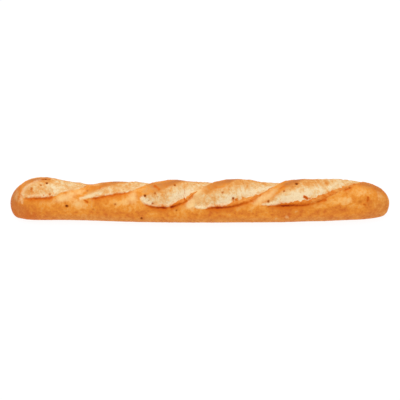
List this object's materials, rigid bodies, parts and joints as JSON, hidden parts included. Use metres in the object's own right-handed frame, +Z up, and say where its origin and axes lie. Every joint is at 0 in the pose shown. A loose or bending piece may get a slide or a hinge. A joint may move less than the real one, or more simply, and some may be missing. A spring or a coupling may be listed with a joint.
{
  "type": "italian bread loaf",
  "caption": "Long slender crusty bread loaf with rounded ends, overlapping diagonal slashes opened along its top, and a flat underside to rest on.",
  "frame": {"origin": "centre of the bounding box in X and Y, at the height of the flat underside", "axes": "+X along the loaf, to the right as the picture shows it; -Y towards the picture's camera, so the side with the slashes' near edges faces -Y; +Z up, out of the slashed top"},
  "size_m": [0.56, 0.0682, 0.0565],
  "materials": {
    "crust": null
  },
  "bodies": {
    "root": {"loaf": "crust"}
  },
  "joints": []
}
